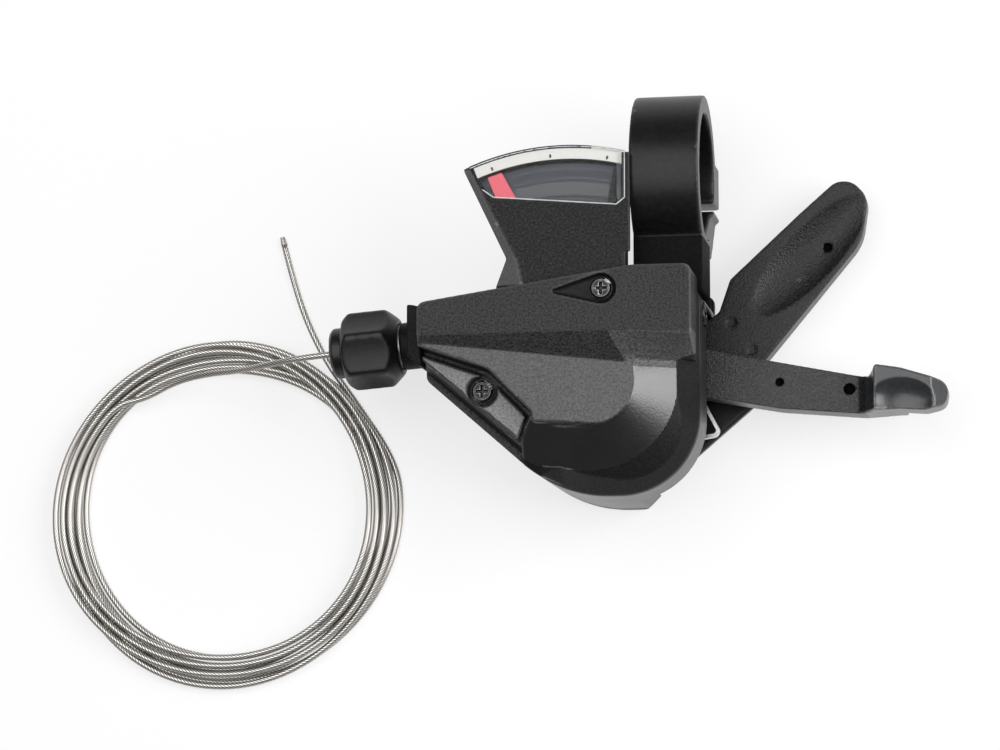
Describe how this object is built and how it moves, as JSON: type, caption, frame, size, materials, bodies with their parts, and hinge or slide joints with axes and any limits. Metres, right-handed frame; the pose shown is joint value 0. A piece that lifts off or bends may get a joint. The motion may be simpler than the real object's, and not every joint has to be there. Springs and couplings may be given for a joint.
{
  "type": "trigger gear shifter",
  "caption": "Clamp-on trigger gear shifter for a flat handlebar, with faceted cover, gear display, thumb lever and finger trigger on a ratchet drum, cable adjuster and coiled cable.",
  "frame": {"origin": "centre of the handlebar clamp's bore", "axes": "+X along the handlebar towards the grip, +Y from the body towards the clamp, +Z out of the cover, away from the base plate"},
  "size_m": [0.1648, 0.1028, 0.0382],
  "materials": {
    "bracket_paint": "satin",
    "black_steel": "satin",
    "plated_steel": "satin",
    "spring_steel": "bright",
    "housing_plastic": "matte",
    "cover_plastic": "satin",
    "lever_plastic": "matte",
    "adjuster_plastic": "satin",
    "window_clear": "clear",
    "scale_cream": "matte",
    "needle_red": "matte",
    "drum_plastic": "matte",
    "cable_steel": "stranded"
  },
  "bodies": {
    "housing": {"clamp_bracket": "bracket_paint", "base_plate": "bracket_paint", "bracket_rivets": "plated_steel", "clamp_bolt": "black_steel", "clamp_nut": "plated_steel", "lower_housing": "housing_plastic", "top_cover": "cover_plastic", "cover_screws": "black_steel", "display_housing": "housing_plastic", "scale_strip": "scale_cream", "display_window": "window_clear", "needle_post": "plated_steel", "main_axle": "plated_steel", "thrust_washers": "plated_steel", "axle_nut": "plated_steel", "spacer_sleeve": "plated_steel", "hold_pawl_pin": "plated_steel", "hold_pawl_spring": "spring_steel", "lever_return_spring": "spring_steel", "trigger_return_spring": "spring_steel", "cable_port_plug": "housing_plastic", "adjuster_spring": "spring_steel", "cable_run": "cable_steel", "cable_lead": "cable_steel", "cable_coil": "cable_steel", "cable_tail": "cable_steel", "cable_tip": "cable_steel"},
    "winder": {"winder_drum": "drum_plastic", "ratchet_wheel": "plated_steel", "needle_drive_pin": "plated_steel", "cable_nipple": "cable_steel"},
    "thumb_lever": {"thumb_lever_plate": "plated_steel", "thumb_paddle": "lever_plastic", "drive_pawl_pin": "plated_steel", "drive_pawl_spring": "spring_steel"},
    "drive_pawl_body": {"drive_pawl": "plated_steel"},
    "release_trigger": {"trigger_plate": "plated_steel", "trigger_grip": "lever_plastic"},
    "hold_pawl_body": {"hold_pawl": "plated_steel"},
    "needle": {"indicator_needle": "needle_red"},
    "knob": {"adjuster_knob": "adjuster_plastic"},
    "barrel": {"adjuster_barrel": "adjuster_plastic"}
  },
  "joints": [
    {"name": "winder_turn", "type": "hinge", "parent": "housing", "child": "winder", "pos_m": [-0.0115, -0.038, -0.001], "axis": [0, 0, 1], "range_deg": [-56, 0]},
    {"name": "thumb_push", "type": "hinge", "parent": "housing", "child": "thumb_lever", "pos_m": [-0.0115, -0.038, -0.0164], "axis": [0, 0, 1], "range_deg": [-40, 0], "stiffness_Nm_per_rad": 0.05, "springref_deg": 20.05},
    {"name": "trigger_pull", "type": "hinge", "parent": "housing", "child": "release_trigger", "pos_m": [-0.0115, -0.038, -0.0113], "axis": [0, 0, 1], "range_deg": [0, 12], "stiffness_Nm_per_rad": 0.1, "springref_deg": -9.74},
    {"name": "hold_pawl_swing", "type": "hinge", "parent": "housing", "child": "hold_pawl_body", "pos_m": [-0.00762, -0.05249, -0.009], "axis": [0, 0, 1], "range_deg": [0, 12]},
    {"name": "drive_pawl_swing", "type": "hinge", "parent": "thumb_lever", "child": "drive_pawl_body", "pos_m": [-0.02541, -0.03294, -0.009], "axis": [0, 0, 1], "range_deg": [0, 8], "stiffness_Nm_per_rad": 0.005, "springref_deg": -9.74},
    {"name": "needle_swing", "type": "hinge", "parent": "housing", "child": "needle", "pos_m": [-0.01706, -0.04025, 0.0129], "axis": [0, 0, 1], "range_deg": [-28, 0]},
    {"name": "knob_turn", "type": "hinge", "parent": "housing", "child": "knob", "pos_m": [-0.05885, -0.02947, -0.001], "axis": [-0.9968, -0.0802, 0], "range_deg": [0, 720]},
    {"name": "barrel_travel", "type": "slide", "parent": "housing", "child": "barrel", "axis": [-0.9968, -0.0802, 0], "range_m": [0, 0.0016]}
  ],
  "couplings": [
    {"joint": "needle_swing", "follows": "winder_turn", "ratio": 0.5},
    {"joint": "hold_pawl_swing", "follows": "trigger_pull", "ratio": 1},
    {"joint": "knob_turn", "follows": "barrel_travel", "rad_per_m": 7854}
  ]
}
